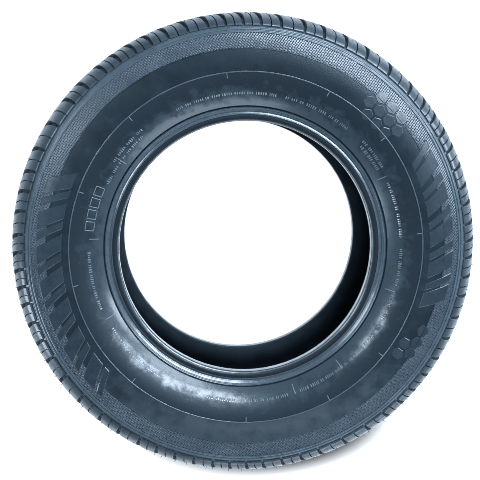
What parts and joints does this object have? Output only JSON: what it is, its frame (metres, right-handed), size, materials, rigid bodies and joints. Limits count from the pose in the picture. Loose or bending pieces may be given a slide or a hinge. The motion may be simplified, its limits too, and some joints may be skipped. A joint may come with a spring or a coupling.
{
  "type": "car tyre",
  "caption": "Unmounted radial car tyre with a ribbed and grooved tread, rounded sidewalls and two beads that seat on a wheel rim.",
  "frame": {"origin": "centre of the tyre: on its spin axis, halfway between the sidewalls", "axes": "+Z along the spin axis and out of the sidewall that the picture shows, so the tyre lies on its other sidewall; +Y towards the top of the picture"},
  "size_m": [0.6959, 0.696, 0.228],
  "materials": {
    "rubber": "moulded carbon black rubber, satin"
  },
  "bodies": {
    "root": {"tyre": "rubber"}
  },
  "joints": []
}
